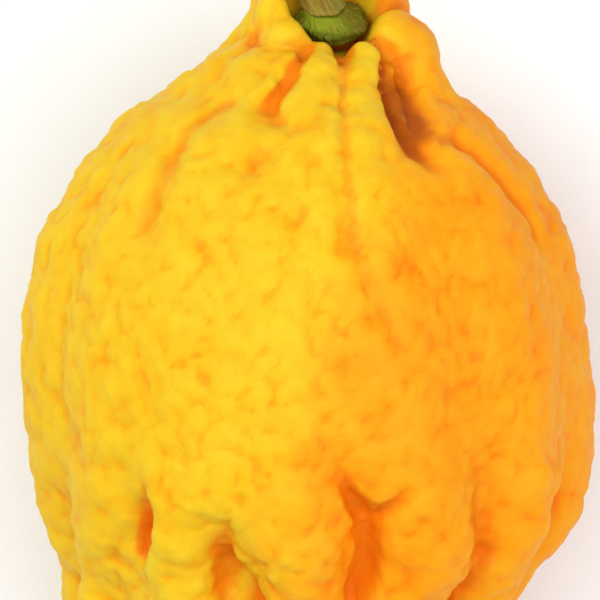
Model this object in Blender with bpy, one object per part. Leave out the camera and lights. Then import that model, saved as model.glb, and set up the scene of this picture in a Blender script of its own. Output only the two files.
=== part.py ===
"""A Buddha's hand citron as picked, lying on its back with the stem end raised.

The fruit is one grown body. Its carpels run from the folds round the stem, down the belly as low
ribs, and part below it into a ring of outer fingers round a few shorter inner ones. A calyx sits
in the hollow of the neck, and the cut stem stands on it.

Shapes are worked out in millimetres in the fruit's own frame: x to the right, y along the axis
towards the stem, z away from the surface it lies on. A station is a distance along the axis from
the rim of the neck towards the fingertips, so a station is -y. lay_down() turns the points into
metres in the frame of the surface.

The rind is where a distance function is zero. Its points are first found on a grid, remade in
even faces, settled on the rind, thinned, and cut level where the fruit rests.
"""

import math

import bmesh
import bpy
import numpy as np
from mathutils.bvhtree import BVHTree

MM = 0.001

# How the fruit lies: its axis slopes down towards the fingertips.
TILT = math.radians(8)
RIM_PLACE = (-0.76, 77.18, 51.2)

# The belly: an ellipsoid blunter towards the fingers.
BELLY_HALF_WIDTH = 45.2
DEPTH_SHARE = 0.9
BELLY_STATION = 64.0
SHOULDER_LENGTH = 54.5
PALM_LENGTH = 41.0

# The outline that the ribs and the outer fingers reach, as half widths at stations, and how far
# its middle sways to the right.
OUTLINE_STATIONS = (5, 10, 20, 30, 40, 52, 65, 77, 85, 93, 100, 125, 160)
OUTLINE_HALF_WIDTHS = (12, 16.6, 24.2, 34.6, 42.3, 46.5, 47.3, 47.2, 45.4, 41.4, 40.4, 33.5, 27)
SWAY_STATIONS = (0, 8, 12, 18, 30, 60, 84, 92, 101, 150)
SWAYS = (4.6, 4.4, 2.4, 0.7, -0.3, -0.2, 1.0, 0.2, -2.2, -5)
RIB_START = 13.5
RIB_ENDS = (RIB_START, 24.0, 75.0)
RIB_HALVES = (4.0, 10.5, 10.5)
PARTING_STATION = 90.0
CURL_START = 86.0
CURL = 1.5
# A finger's half thickness as shares of that at its parting: halfway, and at distances from its tip.
HALFWAY_SHARE = 0.92
TIP_DISTANCES = (8.0, 2.5, 0.0)
TIP_SHARES = (0.72, 0.48, 0.22)

# Carpels of the outer ring. Angles in degrees round the axis, 0 to the right and 90 up, at the
# rib stations, then the fingertip's angle, station and distance from the axis, the finger's half
# thickness where it parts, its bow in degrees, and how far it sinks below the outline.
RIB_STATIONS = (20, 45, 68, 92)
OUTER_CARPELS = (
    ((122, 134, 137, 151), 155, 138, 20, 7.4, 3, 0.5),
    ((108, 116, 117, 126), 121, 152, 13, 6.6, -4, 0),
    ((87, 95, 95, 92), 97, 160, 16, 6.9, -4, 0),
    ((71, 72, 68, 59), 66, 139, 19, 7.3, 4, 0),
    ((49, 40, 37, 35), 39, 155, 14, 7.3, -4, 0),
    ((18, 5, 6, 6), 12, 134, 22, 7.3, 5, 0.6),
    ((-12, -22, -21, -20), -14, 151, 15, 7.4, -5, 0),
    ((-40, -46, -45, -44), -43, 139, 21, 7.5, 4, 0),
    ((-66, -69, -69, -69), -67, 157, 18, 7.6, -5, 0),
    ((-90, -93, -95, -96), -94, 136, 23, 7.3, 3, 0),
    ((-118, -119, -121, -123), -119, 151, 17, 7.7, -5, 0),
    ((-146, -149, -151, -154), -149, 133, 22, 7.5, 5, 0),
    ((166, 162, 166, 173), 179, 154, 16, 7.2, 5, 0),
)
# Inner fingers: angle and distance from the axis at the root and at the tip, tip station and
# half thickness.
INNER_FINGERS = (
    (137, 34, 137, 18, 133, 6.2),
    (111, 27, 116, 8, 137, 6.3),
    (75, 22, 66, 8, 129, 6.0),
    (20, 18, 10, 7, 146, 6.3),
    (-42, 18, -52, 9, 133, 6.3),
    (-96, 18, -92, 6, 143, 6.4),
    (-160, 18, -168, 8, 138, 6.3),
)
INNER_ROOT_STATION = 84.0
INNER_TIP_DISTANCES = (0.0, 2.0, 4.5, 9.0, 40.0)
INNER_TIP_SHARES = (0.2, 0.42, 0.6, 0.74, 1.0)
# The rib that ends above the recess where the first inner finger shows.
SHORT_RIB = (98, 105, 106, 107)
SHORT_RIB_HALF = 8.4
SHORT_RIB_END = 82.0
SHORT_RIB_SINK = 3.5

# The neck leans back towards the sky, and its folds stand round the stem's hollow.
NECK_FOOT = np.array([4.6, -7.8, 1.0])
NECK_LEAN = math.radians(28)
RIM_HEIGHT = 5.0
RIM_RADIUS = 9.8
NECK_RADIUS = 11.0
# Folds: angle round the neck, angle round the belly where it fades, half thickness, extra rise.
NECK_FOLDS = (
    (167, 124, 3.9, 2.2),
    (140, 113, 4.5, -0.8),
    (109, 89, 4.3, -3.0),
    (63, 70, 4.1, -3.6),
    (12, 14, 5.8, -3.7),
    (-42, -36, 4.6, 1.6),
    (-94, -90, 4.8, 2.2),
    (-144, -142, 4.8, 2.6),
)
FOLD_STATIONS = (14.0, 20.0, 27.0)
FOLD_TURNS = (0.4, 0.75, 1.0)
FOLD_PROUD = (1.2, 1.0, -0.4)
FOLD_SHARES = (0.82, 0.95, 1.0, 1.0, 0.95, 0.8)
HOLLOW_RADIUS = 7.6
HOLLOW_FLOOR = -0.3
HOLLOW_TOP = 16.0
HOLLOW_FLARE = 1.5

# Creases pressed into the skin: their (station, angle) points, half width and depth.
CREASES = (
    (((10, 51), (14, 54), (18.5, 57.5), (22, 57.5), (26, 54)), 1.8, 3.7),
    (((11, 35), (14, 39), (18, 45.5), (22, 53), (24, 55)), 1.8, 3.2),
    (((12, 43), (16, 50), (21, 55)), 3.6, 2.7),
    (((21.5, 53), (22, 46), (23, 38), (28, 31), (35, 25), (41, 23)), 1.7, 1.6),
    (((9, 105), (13, 102.5), (15, 104), (17, 106), (20, 98)), 1.7, 2.4),
    (((3, 80), (8, 78), (13, 78)), 1.5, 1.8),
    (((12, 78), (23, 79), (30, 79), (38, 79), (51, 73)), 1.8, 1.3),
    (((16, 117), (18, 125), (21, 129), (29, 126.5), (38, 127)), 2.4, 1.5),
    (((22, 98), (26, 103), (31, 107)), 2.0, 1.2),
    (((49, 149), (60, 149), (70, 148.5)), 1.9, 0.9),
    (((61, 66), (61.5, 57), (61, 45), (56, 36)), 2.0, 0.7),
    (((76, 125), (81, 126.5)), 1.2, 1.6),
    (((80.5, 126.5), (84.5, 127.5), (88, 130)), 2.2, 5.0),
    (((84, 109), (88, 110.5), (94, 110)), 2.6, 3.0),
    (((74, 84), (78, 81.5), (81, 78), (89, 75.5)), 1.8, 3.0),
    (((77, 72), (80, 75.5), (83, 77)), 1.6, 2.4),
    (((87.5, 46), (89.5, 45)), 1.5, 2.0),
)
CREASE_FADE = 4.0
CREASE_REACH = 12.0

# Widths over which the joined forms blend: at the neck, on the belly and among the fingers.
NECK_BLEND = 1.6
BELLY_BLEND = 3.6
FINGER_BLEND = 2.6
HOLLOW_BLEND = 1.6
TUBE_MARGIN = 22.0

# Calyx and stem, which lean to the left as they rise.
CALYX_RADIUS = 6.15
CALYX_LOBES = 5
CALYX_SIDES = 40
CALYX_TOP = 6.3
STEM_RADIUS = 3.3
STEM_LENGTH = 9.5
STEM_SIDES = 24
STEM_LEAN = -0.5
LEAN_START = 3.6
MATING_GAP = 0.35

# Skin relief.
RELIEF_SEED = 11
LUMP_SIZE = 12.0
LUMP_HEIGHT = 1.0
WART_SIZE = 8.0
WART_HEIGHT = 0.6
WART_STRETCH = np.array([1.0, 0.62, 1.0])
LATTICE_TURN = np.array([[0.64, 0.6, 0.48], [-0.48, 0.8, -0.36], [-0.6, 0.0, 0.8]])
CALM_AT_HOLLOW = (9.0, 15.0)
FINGER_CALM = 0.35
FINGER_STATIONS = (95.0, 130.0)

# How finely the rind is found.
GRID_STEP = 1.5
SLOPE_STEP = 0.05
LONGEST_STEP = 1.2
GRID_LOW = np.array([-54.0, -168.0, -50.0])
GRID_HIGH = np.array([54.0, 12.0, 50.0])
FRUIT_TRIANGLES = 10800


def smooth_curve(stations, values):
    """A function through the values: cubic pieces whose slopes are the mean slopes at the stations."""
    x = np.asarray(stations, float)
    v = np.asarray(values, float)
    slope = np.gradient(v, x)

    def at(where):
        where = np.clip(np.asarray(where, float), x[0], x[-1])
        i = np.clip(np.searchsorted(x, where, side="right") - 1, 0, len(x) - 2)
        gap = x[i + 1] - x[i]
        t = (where - x[i]) / gap
        ends = (1 + 2 * t) * (1 - t) ** 2 * v[i] + t**2 * (3 - 2 * t) * v[i + 1]
        slopes = t * (1 - t) ** 2 * slope[i] + t**2 * (t - 1) * slope[i + 1]
        return ends + gap * slopes

    return at


outline = smooth_curve(OUTLINE_STATIONS, OUTLINE_HALF_WIDTHS)
sway = smooth_curve(SWAY_STATIONS, SWAYS)


def smooth_step(low, high, x):
    t = np.clip((x - low) / (high - low), 0, 1)
    return t * t * (3 - 2 * t)


def round_the_axis(station, angle, reach):
    """Points at a station, at an angle in degrees and at a distance from the axis."""
    turn = np.radians(angle)
    x = reach * np.cos(turn) + sway(station)
    z = DEPTH_SHARE * reach * np.sin(turn)
    return np.stack(np.broadcast_arrays(x, -np.asarray(station, float), z), axis=-1)


def neck_point(height, angle, reach):
    """A point above the neck's foot, at an angle in degrees and at a distance from its leaning axis."""
    turn = math.radians(angle)
    up = np.array([0, math.cos(NECK_LEAN), math.sin(NECK_LEAN)])
    out = np.array([0, -math.sin(NECK_LEAN), math.cos(NECK_LEAN)])
    side = np.array([math.cos(turn), 0, 0])
    return NECK_FOOT + height * up + reach * (side + math.sin(turn) * out)


def outer_carpel(angles, tip_angle, tip_station, tip_reach, thickness, bow, sink):
    """A carpel's centre line and half thickness: a rib sunk in the belly, then a tapering finger."""
    angle = smooth_curve((*RIB_STATIONS, tip_station), (*angles, tip_angle))
    free = tip_station - PARTING_STATION
    tip = tip_station - np.array(TIP_DISTANCES)
    half = smooth_curve(
        (*RIB_ENDS, PARTING_STATION, PARTING_STATION + 0.5 * free, *tip),
        (*RIB_HALVES, thickness, HALFWAY_SHARE * thickness, *(thickness * np.array(TIP_SHARES))),
    )
    station = np.concatenate([
        np.linspace(RIB_START, CURL_START - 2, 10),
        np.linspace(CURL_START + 2, tip[0], 9),
        [tip_station - 5],
        tip[1:],
    ])
    thick = half(station)
    own = np.clip((station - CURL_START) / (tip_station - CURL_START), 0, 1) ** CURL
    below = thick + sink * smooth_step(70, PARTING_STATION, station)
    reach = (1 - own) * (outline(station) - below) + own * tip_reach
    run = np.clip((station - PARTING_STATION) / free, 0, 1)
    swing = bow * np.sin(2 * math.pi * run**0.8)
    return round_the_axis(station, angle(station) + swing, reach), thick


def inner_finger(root_angle, root_reach, tip_angle, tip_reach, tip_station, thickness):
    """An inner finger's centre line and half thickness, rooted in the palm."""
    station = np.concatenate([
        np.linspace(INNER_ROOT_STATION, tip_station - 7, 8),
        tip_station - np.array(INNER_TIP_DISTANCES[2::-1]),
    ])
    along = smooth_step(INNER_ROOT_STATION, tip_station, station)
    thick = thickness * np.interp(tip_station - station, INNER_TIP_DISTANCES, INNER_TIP_SHARES)
    angle = root_angle + (tip_angle - root_angle) * along
    reach = root_reach + (tip_reach - root_reach) * along
    return round_the_axis(station, angle, reach), thick


def short_rib():
    """The rib that has no outer finger and sinks into the palm."""
    station = np.linspace(RIB_START + 2, SHORT_RIB_END, 9)
    angle = smooth_curve(RIB_STATIONS, SHORT_RIB)(station)
    thick = SHORT_RIB_HALF * smooth_step(RIB_START - 8, RIB_START + 14, station)
    sink = SHORT_RIB_SINK * smooth_step(SHORT_RIB_END - 8, SHORT_RIB_END, station)
    return round_the_axis(station, angle, outline(station) - thick - sink), thick


def neck_fold(neck_angle, belly_angle, half, rise):
    """A thick fold from the rim of the hollow, over the neck, until it fades into the shoulder."""
    top = RIM_HEIGHT + rise
    rim = [
        neck_point(top, neck_angle, RIM_RADIUS),
        neck_point(0.5 * top, neck_angle, 0.5 * (RIM_RADIUS + NECK_RADIUS)),
        neck_point(-0.5, neck_angle, NECK_RADIUS),
    ]
    station = np.array(FOLD_STATIONS)
    angle = neck_angle + np.array(FOLD_TURNS) * (belly_angle - neck_angle)
    reach = outline(station) - half + np.array(FOLD_PROUD)
    path = np.vstack([rim, round_the_axis(station, angle, reach)])
    return path, half * np.array(FOLD_SHARES)


def all_tubes():
    """Centre lines and half thicknesses of everything that swells from the belly."""
    tubes = [outer_carpel(*row) for row in OUTER_CARPELS]
    tubes += [inner_finger(*row) for row in INNER_FINGERS]
    tubes.append(short_rib())
    tubes += [neck_fold(*row) for row in NECK_FOLDS]
    return tubes


def unrolled(p):
    """Station, angle and share of the outline's half width of points round the axis."""
    station = -p[:, 1]
    x = p[:, 0] - sway(station)
    z = p[:, 2] / DEPTH_SHARE
    return station, np.arctan2(z, x), np.hypot(x, z)


def crease_depth(p):
    """How far the creases press in: rounded grooves along lines on the unrolled skin, fading at both ends."""
    station, angle, reach = unrolled(p)
    half_width = outline(station)
    shallow = smooth_step(half_width - CREASE_REACH, half_width - 0.5 * CREASE_REACH, reach)
    total = np.zeros(len(p))
    for points, half, depth in CREASES:
        s, a = np.array(points, float).T
        near = np.flatnonzero(
            (station > s.min() - 3 * half) & (station < s.max() + 3 * half) & (shallow > 0)
        )
        radius = outline(0.5 * (s.min() + s.max()))
        line = np.stack([s, radius * np.radians(a)], axis=1)
        flat = np.stack([station[near], radius * angle[near]], axis=1)
        least = np.full(len(near), 1e3)
        along = np.zeros(len(near))
        lengths = np.linalg.norm(np.diff(line, axis=0), axis=1)
        before = np.concatenate([[0], np.cumsum(lengths)])
        for p0, p1, length, start in zip(line[:-1], line[1:], lengths, before):
            link = (p1 - p0) / length
            t = np.clip((flat - p0) @ link, 0, length)
            away = np.linalg.norm(flat - p0 - t[:, None] * link, axis=1)
            along = np.where(away < least, start + t, along)
            least = np.minimum(least, away)
        fade = smooth_step(-CREASE_FADE, CREASE_FADE, np.minimum(along, before[-1] - along))
        total[near] = np.maximum(total[near], depth * fade * np.exp(-((least / half) ** 2)))
    return total * shallow


def belly_distance(p):
    """Distance to the belly's ellipsoid, nearly: the scaled length over the length of its slope."""
    along = p[:, 1] + BELLY_STATION
    length = np.where(along > 0, SHOULDER_LENGTH, PALM_LENGTH)
    radii = np.stack(
        [
            np.full(len(p), BELLY_HALF_WIDTH),
            length,
            np.full(len(p), DEPTH_SHARE * BELLY_HALF_WIDTH),
        ],
        axis=1,
    )
    q = np.stack([p[:, 0] - sway(-p[:, 1]), along, p[:, 2]], axis=1) / radii
    scaled = np.linalg.norm(q, axis=1)
    slope = np.linalg.norm(q / radii, axis=1)
    return scaled * (scaled - 1) / np.maximum(slope, 1e-6)


def tube_distance(p, path, half):
    """Distance to a chain of cones: at each point the least over the links, less the half thickness."""
    best = np.full(len(p), 1e3)
    near = np.all((p > path.min(0) - TUBE_MARGIN) & (p < path.max(0) + TUBE_MARGIN), axis=1)
    q = p[near]
    least = np.full(len(q), 1e3)
    for a, b, ra, rb in zip(path[:-1], path[1:], half[:-1], half[1:]):
        link = b - a
        t = np.clip((q - a) @ link / (link @ link), 0, 1)
        d = np.linalg.norm(q - a - t[:, None] * link, axis=1) - ra - t * (rb - ra)
        least = np.minimum(least, d)
    best[near] = least
    return best


def blend_union(a, b, width):
    """The nearer of two distances, with the corner between them filled over a width."""
    overlap = np.clip(width - np.abs(a - b), 0, None) / width
    return np.minimum(a, b) - overlap**2 * width / 4


class Noise:
    """Smooth random values: slopes drawn for the corners of a cubic lattice and blended between."""

    def __init__(self, seed):
        draw = np.random.default_rng(seed)
        self.order = draw.permutation(256)
        slopes = draw.normal(size=(256, 3))
        self.slopes = slopes / np.linalg.norm(slopes, axis=1)[:, None]
        self.shifts = draw.uniform(0.05, 0.95, size=(256, 3))

    def pick(self, cell):
        i, j, k = (cell & 255).T
        return self.order[(self.order[(self.order[i] + j) & 255] + k) & 255]

    def waves(self, p):
        cell = np.floor(p).astype(int)
        f = p - cell
        ease = f**3 * (f * (6 * f - 15) + 10)
        total = np.zeros(len(p))
        for corner in np.ndindex(2, 2, 2):
            c = np.array(corner)
            share = np.prod(np.where(c, ease, 1 - ease), axis=1)
            total += share * np.einsum("ij,ij->i", self.slopes[self.pick(cell + c)], f - c)
        return total

    def warts(self, p):
        """One round wart for each lattice cell: 1 at its top, 0 in the gaps between."""
        cell = np.floor(p).astype(int)
        nearest = np.full(len(p), 9.0)
        for step in np.ndindex(3, 3, 3):
            near = cell + np.array(step) - 1
            away = near + self.shifts[self.pick(near)] - p
            nearest = np.minimum(nearest, np.einsum("ij,ij->i", away, away))
        return np.clip(1 - nearest / 0.72, 0, 1)


noise = Noise(RELIEF_SEED)


def skin_relief(p):
    """Height of the rind over its form: broad lumps, and warts drawn out along the fruit."""
    turned = (p * WART_STRETCH) @ LATTICE_TURN
    lumps = noise.waves(turned / LUMP_SIZE)
    warts = noise.warts(turned / WART_SIZE) - 0.45
    hollow = np.linalg.norm(p - neck_point(4, 0, 0), axis=1)
    calm = smooth_step(*CALM_AT_HOLLOW, hollow)
    calm *= 1 - FINGER_CALM * smooth_step(*FINGER_STATIONS, -p[:, 1])
    return calm * (LUMP_HEIGHT * lumps + WART_HEIGHT * warts)


TUBES = all_tubes()
HOLLOW_LINE = np.array([neck_point(h, 0, 0) for h in (HOLLOW_FLOOR + HOLLOW_RADIUS, HOLLOW_TOP)])
HOLLOW_HALF = np.array([HOLLOW_RADIUS, HOLLOW_RADIUS + HOLLOW_FLARE])


def skin_distance(p):
    """Signed distance to the rind, nearly: belly and tubes blended, hollow and creases pressed in."""
    station = -p[:, 1]
    width = NECK_BLEND + (BELLY_BLEND - NECK_BLEND) * smooth_step(12, 22, station)
    width += (FINGER_BLEND - BELLY_BLEND) * smooth_step(80, 96, station)
    d = belly_distance(p)
    for path, half in TUBES:
        d = blend_union(d, tube_distance(p, path, half), width)
    d = -blend_union(-d, tube_distance(p, HOLLOW_LINE, HOLLOW_HALF), HOLLOW_BLEND)
    return d + crease_depth(p) - skin_relief(p)


def settle_on_skin(p, rounds=5):
    """Moves points down the slope of the distance until they lie on the rind."""
    for _ in range(rounds):
        d = skin_distance(p)
        beside = [skin_distance(p + e) for e in SLOPE_STEP * np.eye(3)]
        slope = (np.stack(beside, axis=1) - d[:, None]) / SLOPE_STEP
        steepness = np.maximum(np.einsum("ij,ij->i", slope, slope), 0.05)
        step = slope * (d / steepness)[:, None]
        far = np.maximum(np.linalg.norm(step, axis=1), SLOPE_STEP)
        p = p - step * np.minimum(1, LONGEST_STEP / far)[:, None]
    return p


def lay_down(p):
    """From the fruit's own frame in millimetres to the surface's frame in metres."""
    c, s = math.cos(TILT), math.sin(TILT)
    x, y, z = np.asarray(p, float).T
    placed = np.stack([x, y * c - z * s, y * s + z * c], axis=1) + RIM_PLACE
    return placed * MM


def material(name, colour, roughness):
    made = bpy.data.materials.new(name)
    made.use_nodes = True
    shader = made.node_tree.nodes["Principled BSDF"]
    shader.inputs["Base Color"].default_value = (*colour, 1)
    shader.inputs["Roughness"].default_value = roughness
    shader.inputs["Metallic"].default_value = 0
    return made


def mesh_object(name, mesh, finish):
    made = bpy.data.objects.new(name, mesh)
    bpy.context.scene.collection.objects.link(made)
    mesh.materials.clear()
    mesh.materials.append(finish)
    return made


def applied(obj):
    """The object's mesh with its modifiers worked in, and the object removed."""
    graph = bpy.context.evaluated_depsgraph_get()
    mesh = bpy.data.meshes.new_from_object(obj.evaluated_get(graph))
    bpy.data.objects.remove(obj)
    return mesh


def grid_skin(step):
    """A first skin: one point in each grid cell that the rind passes through, joined by squares."""
    counts = np.ceil((GRID_HIGH - GRID_LOW) / step).astype(int)
    lines = [low + step * np.arange(n) for low, n in zip(GRID_LOW, counts)]
    corners = np.stack(np.meshgrid(*lines, indexing="ij"), axis=-1)
    inside = (skin_distance(corners.reshape(-1, 3)) < 0).reshape(counts)
    filled = np.zeros(counts - 1, int)
    for i, j, k in np.ndindex(2, 2, 2):
        filled += inside[i:counts[0] - 1 + i, j:counts[1] - 1 + j, k:counts[2] - 1 + k]
    crossed = (filled > 0) & (filled < 8)
    number = np.full(counts - 1, -1)
    number[crossed] = np.arange(crossed.sum())
    points = GRID_LOW + step * (np.argwhere(crossed) + 0.5)
    squares = []
    for axis in range(3):
        side, other = (axis + 1) % 3, (axis + 2) % 3
        grid = np.moveaxis(inside, (axis, side, other), (0, 1, 2))
        cells = np.moveaxis(number, (axis, side, other), (0, 1, 2))
        here, there = grid[:-1, 1:-1, 1:-1], grid[1:, 1:-1, 1:-1]
        around = (cells[:, :-1, :-1], cells[:, 1:, :-1], cells[:, 1:, 1:], cells[:, :-1, 1:])
        leaving = here & ~there
        entering = there & ~here
        squares.append(np.stack([c[leaving] for c in around], axis=1))
        squares.append(np.stack([c[entering] for c in around[::-1]], axis=1))
    mesh = bpy.data.meshes.new("first skin")
    mesh.from_pydata(settle_on_skin(points, 3), [], np.vstack(squares))
    return mesh


def outer_shell(mesh):
    """Keeps the largest connected skin and drops any that lies sealed inside it."""
    bm = bmesh.new()
    bm.from_mesh(mesh)
    left = set(bm.verts)
    groups = []
    while left:
        seed = left.pop()
        group, edge = {seed}, [seed]
        while edge:
            for link in edge.pop().link_edges:
                for v in link.verts:
                    if v in left:
                        left.discard(v)
                        group.add(v)
                        edge.append(v)
        groups.append(group)
    groups.sort(key=len)
    for group in groups[:-1]:
        bmesh.ops.delete(bm, geom=list(group), context="VERTS")
    bm.to_mesh(mesh)
    bm.free()


def points_of(mesh):
    co = np.empty(len(mesh.vertices) * 3, np.float32)
    mesh.vertices.foreach_get("co", co)
    return co.reshape(-1, 3).astype(float)


def set_points(mesh, points):
    mesh.vertices.foreach_set("co", points.astype(np.float32).ravel())
    mesh.update()


def one_skin(step):
    """The first skin remade in even faces with no pinched corners, and settled on the rind."""
    first = mesh_object("first skin", grid_skin(step), material("first skin", (1, 1, 1), 1))
    remesh = first.modifiers.new("even faces", "REMESH")
    remesh.mode = "VOXEL"
    remesh.voxel_size = step
    mesh = applied(first)
    outer_shell(mesh)
    set_points(mesh, settle_on_skin(points_of(mesh)))
    return mesh


def crossing_points(bm):
    """The corners of faces that pass through a face they share no corner with."""
    bm.faces.ensure_lookup_table()
    tree = BVHTree.FromBMesh(bm)
    found = set()
    for i, j in tree.overlap(tree):
        one, other = bm.faces[i], bm.faces[j]
        if i < j and not set(one.verts) & set(other.verts):
            found.update(one.verts)
            found.update(other.verts)
    return list(found)


def untangle(mesh, rounds=30):
    """Eases the corners of crossing faces towards their neighbours until no faces cross."""
    bm = bmesh.new()
    bm.from_mesh(mesh)
    bmesh.ops.triangulate(bm, faces=bm.faces[:])
    for _ in range(rounds):
        tangled = crossing_points(bm)
        if not tangled:
            break
        bmesh.ops.smooth_vert(
            bm, verts=tangled, factor=0.5, use_axis_x=True, use_axis_y=True, use_axis_z=True
        )
    bm.to_mesh(mesh)
    bm.free()


def level_feet(mesh):
    """Cuts the skin flat where it meets the surface, and closes the cuts."""
    bm = bmesh.new()
    bm.from_mesh(mesh)
    geometry = bm.verts[:] + bm.edges[:] + bm.faces[:]
    cut = bmesh.ops.bisect_plane(
        bm, geom=geometry, dist=1e-7, plane_co=(0, 0, 0), plane_no=(0, 0, -1), clear_outer=True
    )
    edges = [e for e in cut["geom_cut"] if isinstance(e, bmesh.types.BMEdge)]
    bmesh.ops.holes_fill(bm, edges=edges)
    bmesh.ops.triangulate(bm, faces=bm.faces[:])
    bmesh.ops.recalc_face_normals(bm, faces=bm.faces[:])
    bm.to_mesh(mesh)
    bm.free()


def make_fruit():
    rind = material("rind", (0.93, 0.52, 0.03), 0.45)
    mesh = one_skin(GRID_STEP)
    set_points(mesh, lay_down(points_of(mesh)))
    fruit = mesh_object("fruit", mesh, rind)
    faces = sum(len(p.vertices) - 2 for p in mesh.polygons)
    thin = fruit.modifiers.new("fewer faces", "DECIMATE")
    thin.ratio = FRUIT_TRIANGLES / faces
    mesh = applied(fruit)
    untangle(mesh)
    level_feet(mesh)
    mesh.shade_smooth()
    return mesh_object("fruit", mesh, rind)


def turned_about_neck(name, rings, finish):
    """A closed mesh from rings of (height above the neck's foot, reach at each angle)."""
    bm = bmesh.new()
    sides = len(rings[0][1])
    angles = np.linspace(0, 360, sides, endpoint=False)
    made = []
    for height, reaches in rings:
        ring = np.array([neck_point(height, a, r) for a, r in zip(angles, reaches)])
        ring[:, 0] += STEM_LEAN * max(height - LEAN_START, 0)
        made.append([bm.verts.new(co) for co in lay_down(ring)])
    for low, high in zip(made[:-1], made[1:]):
        for i in range(sides):
            j = (i + 1) % sides
            bm.faces.new((low[i], low[j], high[j], high[i]))
    bm.faces.new(made[0][::-1])
    bm.faces.new(made[-1])
    bmesh.ops.recalc_face_normals(bm, faces=bm.faces[:])
    bmesh.ops.triangulate(bm, faces=bm.faces[:])
    mesh = bpy.data.meshes.new(name)
    bm.to_mesh(mesh)
    bm.free()
    mesh.shade_smooth()
    return mesh_object(name, mesh, finish)


def make_calyx():
    """A green cup on the floor of the hollow: a five-lobed brim round a dome that bears the stem."""
    turn = np.linspace(0, 2 * math.pi, CALYX_SIDES, endpoint=False)
    lobe = 1 - 0.15 * (0.5 + 0.5 * np.cos(CALYX_LOBES * turn + 0.6)) ** 1.5
    even = np.ones(CALYX_SIDES)
    rings = [
        (0.15, 1.6 * even),
        (0.5, 2.6 * even),
        (1.0, 3.5 * even),
        (2.0, 4.7 * (0.4 * lobe + 0.6)),
        (3.0, 5.6 * lobe),
        (4.0, CALYX_RADIUS * lobe),
        (4.45, (CALYX_RADIUS - 0.15) * lobe),
        (4.7, (CALYX_RADIUS - 0.9) * lobe),
        (5.0, 4.5 * (0.4 * lobe + 0.6)),
        (5.7, 3.9 * even),
        (CALYX_TOP, 3.55 * even),
    ]
    return turned_about_neck("calyx", rings, material("calyx", (0.26, 0.3, 0.025), 0.6))


def make_stem():
    """The cut stem: flared where it meets the calyx, lightly ribbed, and cut square."""
    turn = np.linspace(0, 2 * math.pi, STEM_SIDES, endpoint=False)
    ribs = 1 + 0.05 * np.cos(6 * turn + 0.4)
    foot = CALYX_TOP + MATING_GAP
    rings = [
        (foot, (STEM_RADIUS + 0.25) * ribs),
        (foot + 1.0, (STEM_RADIUS + 0.05) * ribs),
        (foot + 2.6, (STEM_RADIUS - 0.2) * ribs),
        (foot + 0.6 * STEM_LENGTH, (STEM_RADIUS - 0.25) * ribs),
        (foot + STEM_LENGTH - 0.4, (STEM_RADIUS - 0.05) * ribs),
        (foot + STEM_LENGTH, (STEM_RADIUS - 0.4) * ribs),
    ]
    return turned_about_neck("stem", rings, material("stem", (0.2, 0.17, 0.05), 0.7))


def main():
    for obj in list(bpy.data.objects):
        bpy.data.objects.remove(obj)
    make_fruit()
    make_calyx()
    make_stem()


main()
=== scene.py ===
"""The look of a Buddha's hand citron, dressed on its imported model.

The rind is remade finely from a merged copy of the model's own mesh and settled on the same
distance function that shapes it, then given its bumps, wrinkles and pores. The calyx and the stem
are turned again with their small detail. Lengths are in millimetres in the fruit's own frame, and
lay_down() turns them into metres in the frame of the surface.
"""

import math

import bmesh
import bpy
import numpy as np
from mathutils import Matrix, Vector


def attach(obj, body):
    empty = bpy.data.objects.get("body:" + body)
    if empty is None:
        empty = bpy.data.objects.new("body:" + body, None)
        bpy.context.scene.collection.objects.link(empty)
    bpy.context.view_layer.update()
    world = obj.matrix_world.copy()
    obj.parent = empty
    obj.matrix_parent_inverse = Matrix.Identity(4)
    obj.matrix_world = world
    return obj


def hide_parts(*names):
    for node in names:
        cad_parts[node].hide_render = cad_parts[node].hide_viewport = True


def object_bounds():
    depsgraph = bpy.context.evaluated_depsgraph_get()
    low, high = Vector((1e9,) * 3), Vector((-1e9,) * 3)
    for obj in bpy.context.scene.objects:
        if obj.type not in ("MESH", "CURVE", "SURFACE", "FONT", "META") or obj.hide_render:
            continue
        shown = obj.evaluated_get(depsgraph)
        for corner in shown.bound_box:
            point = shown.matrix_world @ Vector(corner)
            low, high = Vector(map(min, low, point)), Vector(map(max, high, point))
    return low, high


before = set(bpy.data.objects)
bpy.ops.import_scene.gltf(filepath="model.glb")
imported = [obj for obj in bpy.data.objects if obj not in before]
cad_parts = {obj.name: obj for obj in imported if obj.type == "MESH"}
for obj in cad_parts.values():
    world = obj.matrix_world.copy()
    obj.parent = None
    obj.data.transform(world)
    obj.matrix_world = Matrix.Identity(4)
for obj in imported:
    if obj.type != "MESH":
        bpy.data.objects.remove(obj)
packed_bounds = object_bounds()

MM = 0.001

# How the fruit lies: its axis slopes down towards the fingertips.
TILT = math.radians(8)
RIM_PLACE = (-0.76, 77.18, 51.2)

# The belly: an ellipsoid blunter towards the fingers.
BELLY_HALF_WIDTH = 45.2
DEPTH_SHARE = 0.9
BELLY_STATION = 64.0
SHOULDER_LENGTH = 54.5
PALM_LENGTH = 41.0

# The outline that the ribs and the outer fingers reach, as half widths at stations, and how far
# its middle sways to the right.
OUTLINE_STATIONS = (5, 10, 20, 30, 40, 52, 65, 77, 85, 93, 100, 125, 160)
OUTLINE_HALF_WIDTHS = (12, 16.6, 24.2, 34.6, 42.3, 46.5, 47.3, 47.2, 45.4, 41.4, 40.4, 33.5, 27)
SWAY_STATIONS = (0, 8, 12, 18, 30, 60, 84, 92, 101, 150)
SWAYS = (4.6, 4.4, 2.4, 0.7, -0.3, -0.2, 1.0, 0.2, -2.2, -5)
RIB_START = 13.5
RIB_ENDS = (RIB_START, 24.0, 75.0)
RIB_HALVES = (4.0, 10.5, 10.5)
PARTING_STATION = 90.0
CURL_START = 86.0
CURL = 1.5
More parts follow.
